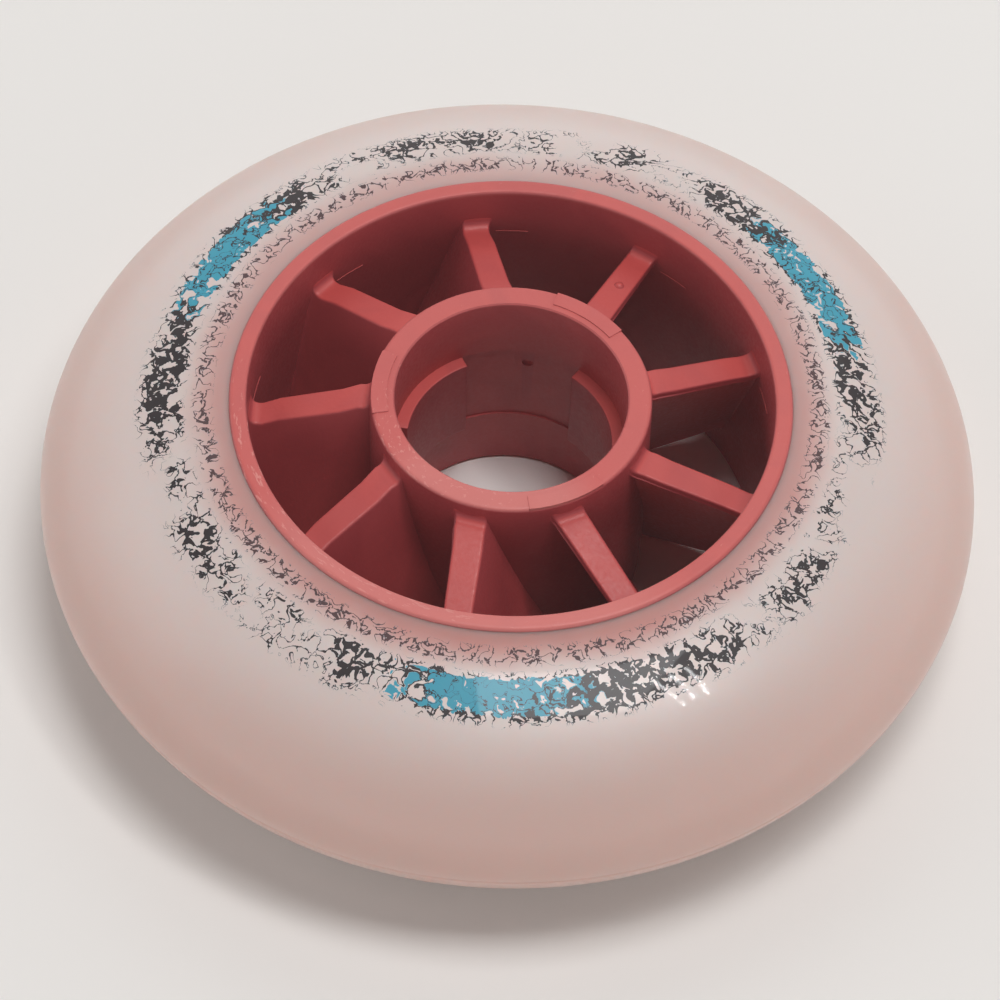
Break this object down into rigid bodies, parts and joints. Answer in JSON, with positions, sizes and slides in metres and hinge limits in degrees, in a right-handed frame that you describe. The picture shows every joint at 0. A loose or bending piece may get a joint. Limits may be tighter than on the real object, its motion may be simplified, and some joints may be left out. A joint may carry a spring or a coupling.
{
  "type": "inline skate wheel",
  "caption": "Speed inline skate wheel: a translucent cast urethane tyre keyed onto a moulded core with leaning spokes and open bearing seats.",
  "frame": {"origin": "centre of the wheel: on the axle axis, halfway between the two faces", "axes": "+Z along the axle axis, out of the upper face; the wheel lies flat; X and Y lie in the mid-plane"},
  "size_m": [0.09, 0.09, 0.025],
  "materials": {
    "urethane": "gloss",
    "core_plastic": "satin"
  },
  "bodies": {
    "root": {"tyre": "urethane", "core": "core_plastic"}
  },
  "joints": []
}
